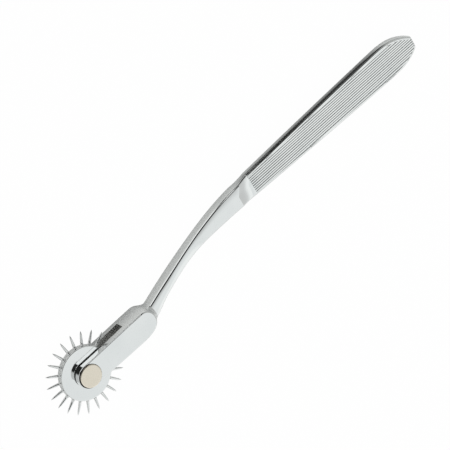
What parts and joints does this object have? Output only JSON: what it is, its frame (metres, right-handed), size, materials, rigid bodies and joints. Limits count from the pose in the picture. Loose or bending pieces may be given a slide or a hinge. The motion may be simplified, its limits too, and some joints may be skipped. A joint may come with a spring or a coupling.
{
  "type": "neurological pinwheel",
  "caption": "Hand instrument with a wheel of sharp pins that rolls in a slotted fork on a bent neck with a flat ribbed grip.",
  "frame": {"origin": "centre of the rear rivet head's flat face, on the wheel's axis", "axes": "+X from the wheel along the fork and grip to the tail, +Z along the axle towards the front rivet head, +Y the side that the bent neck rises to"},
  "size_m": [0.1898, 0.0351, 0.0096],
  "materials": {
    "polished_steel": "mirror polished and plated",
    "pin_steel": "bright ground steel",
    "nickel_silver": "bright nickel silver, slightly warm"
  },
  "bodies": {
    "handle_body": {"handle": "polished_steel", "rivet_post": "nickel_silver", "rivet_cap": "nickel_silver"},
    "wheel_body": {"wheel_disc": "polished_steel", "pin_01": "pin_steel", "pin_02": "pin_steel", "pin_03": "pin_steel", "pin_04": "pin_steel", "pin_05": "pin_steel", "pin_06": "pin_steel", "pin_07": "pin_steel", "pin_08": "pin_steel", "pin_09": "pin_steel", "pin_10": "pin_steel", "pin_11": "pin_steel", "pin_12": "pin_steel", "pin_13": "pin_steel", "pin_14": "pin_steel", "pin_15": "pin_steel", "pin_16": "pin_steel", "pin_17": "pin_steel", "pin_18": "pin_steel", "pin_19": "pin_steel", "pin_20": "pin_steel", "pin_21": "pin_steel", "pin_22": "pin_steel"}
  },
  "joints": [
    {"name": "wheel_spin", "type": "hinge", "parent": "handle_body", "child": "wheel_body", "pos_m": [0, 0, 0.0048], "axis": [0, 0, 1], "continuous": true}
  ]
}
